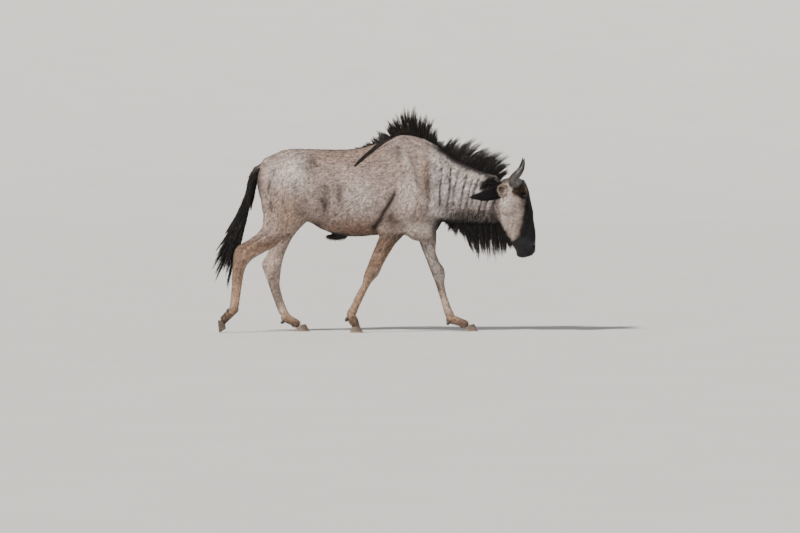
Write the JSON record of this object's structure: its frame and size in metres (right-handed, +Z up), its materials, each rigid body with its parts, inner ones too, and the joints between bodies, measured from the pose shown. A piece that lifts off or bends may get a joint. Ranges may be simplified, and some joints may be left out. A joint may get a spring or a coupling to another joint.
{
  "type": "blue wildebeest",
  "caption": "Life-size standing wildebeest in mid-stride: humped lean body, lowered long head, curved horns, erect mane, beard and brush tail, for still museum display.",
  "frame": {"origin": "centre of the bounding box on the floor the hooves stand on", "axes": "+X towards the head, +Y towards the animal's left, +Z up"},
  "size_m": [2.3018, 0.5454, 1.615],
  "materials": {
    "hide_grey": "short grey-brown fur with dark slanting streaks",
    "hide_neck": "short silvery fur with dark vertical stripes",
    "hide_face": "short fur, black down the face",
    "hide_leg": "short tan fur",
    "ear_hair": "short dark hair",
    "hair_black": "long black hair",
    "horn": "smooth dark horn",
    "hoof": "worn grey-brown horn",
    "eye": "wet gloss"
  },
  "bodies": {
    "root": {"trunk": "hide_grey", "neck": "hide_neck", "head": "hide_face", "foreleg_right": "hide_leg", "foreleg_left": "hide_leg", "hindleg_right": "hide_leg", "hindleg_left": "hide_leg", "ear_right": "ear_hair", "ear_left": "ear_hair", "tail": "hair_black", "tail_brush": "hair_black", "mane": "hair_black", "mane_fall": "hair_black", "beard": "hair_black", "horn_right": "horn", "horn_left": "horn", "eye_right": "eye", "eye_left": "eye", "hoof_fore_right_outer": "hoof", "hoof_fore_right_inner": "hoof", "hoof_fore_left_outer": "hoof", "hoof_fore_left_inner": "hoof", "hoof_hind_right_outer": "hoof", "hoof_hind_right_inner": "hoof", "hoof_hind_left_outer": "hoof", "hoof_hind_left_inner": "hoof", "dewclaw_fore_right_outer": "hoof", "dewclaw_fore_right_inner": "hoof", "dewclaw_fore_left_outer": "hoof", "dewclaw_fore_left_inner": "hoof", "dewclaw_hind_right_outer": "hoof", "dewclaw_hind_right_inner": "hoof", "dewclaw_hind_left_outer": "hoof", "dewclaw_hind_left_inner": "hoof"}
  },
  "joints": []
}
